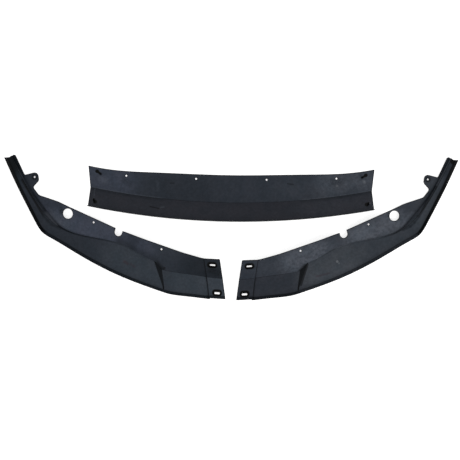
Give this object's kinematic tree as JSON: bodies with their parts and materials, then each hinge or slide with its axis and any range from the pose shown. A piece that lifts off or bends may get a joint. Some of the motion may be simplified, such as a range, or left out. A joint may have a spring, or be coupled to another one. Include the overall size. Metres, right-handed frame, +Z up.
{
  "type": "front splitter lip",
  "caption": "Front splitter lip for a car bumper, in moulded black plastic: a curved centre strip and mirrored wings with mounting flanges, upturned lips and screw holes, laid apart.",
  "frame": {"origin": "on the floor, at the middle of the ground that the three laid-out sections cover", "axes": "+X along the lip's width, towards the right wing; +Y towards the back, where the flanges meet the bumper; +Z up, out of the lip's inside"},
  "size_m": [1.1672, 0.3768, 0.0515],
  "materials": {
    "moulded_plastic": "black moulded plastic with a fine satin grain"
  },
  "bodies": {
    "root": {"centre_section": "moulded_plastic", "left_wing_section": "moulded_plastic", "right_wing_section": "moulded_plastic"}
  },
  "joints": []
}
